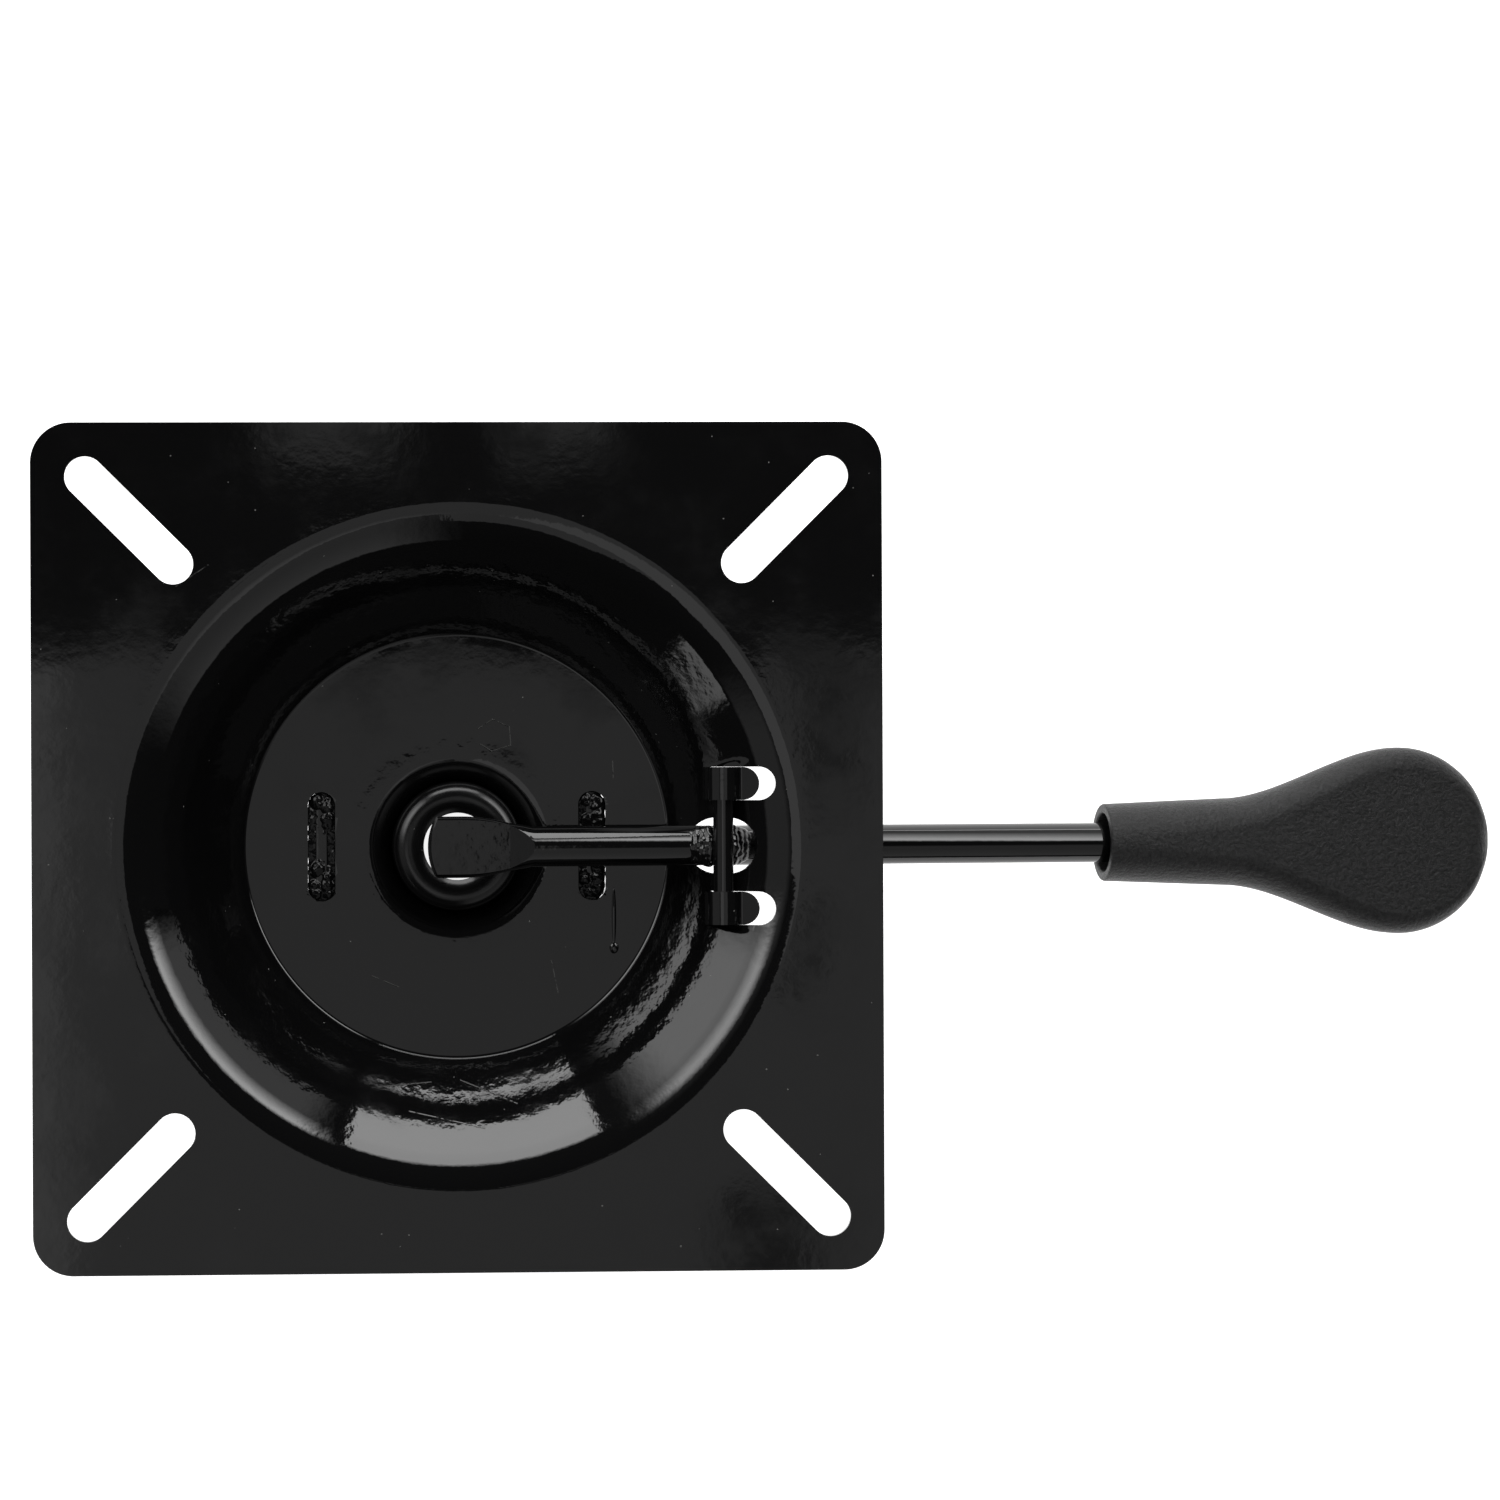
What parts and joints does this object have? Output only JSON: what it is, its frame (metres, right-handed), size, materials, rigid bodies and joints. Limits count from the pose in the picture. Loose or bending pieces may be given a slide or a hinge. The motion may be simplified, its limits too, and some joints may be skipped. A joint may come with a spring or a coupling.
{
  "type": "gas lift seat plate with height lever",
  "caption": "Square pressed-steel seat plate with a round dish, diagonal bolt slots, a tapered gas spring socket and a pivoting height lever with a moulded paddle knob.",
  "frame": {"origin": "where the dish axis meets the seat face of the flange", "axes": "+Z out of the seat face towards the seat, along the gas spring; +X along the lever towards its knob; +Y across the lever"},
  "size_m": [0.3515, 0.2, 0.0829],
  "materials": {
    "black_paint": "gloss",
    "painted_weld": "gloss",
    "black_plastic": "fine matte grain"
  },
  "bodies": {
    "plate": {"seat_plate": "black_paint", "gas_socket": "black_paint", "socket_bracket": "black_paint", "neck_weld": "painted_weld", "foot_weld": "painted_weld", "left_tab_weld": "painted_weld", "right_tab_weld": "painted_weld"},
    "lever": {"lever_rod": "black_paint", "pivot_pin": "black_paint", "pin_weld_inner": "painted_weld", "pin_weld_outer": "painted_weld", "lever_knob": "black_plastic"}
  },
  "joints": [
    {"name": "lever_pivot", "type": "hinge", "parent": "plate", "child": "lever", "pos_m": [0.0627, 0, -0.00798], "axis": [0, -1, 0], "range_deg": [0, 8]}
  ]
}
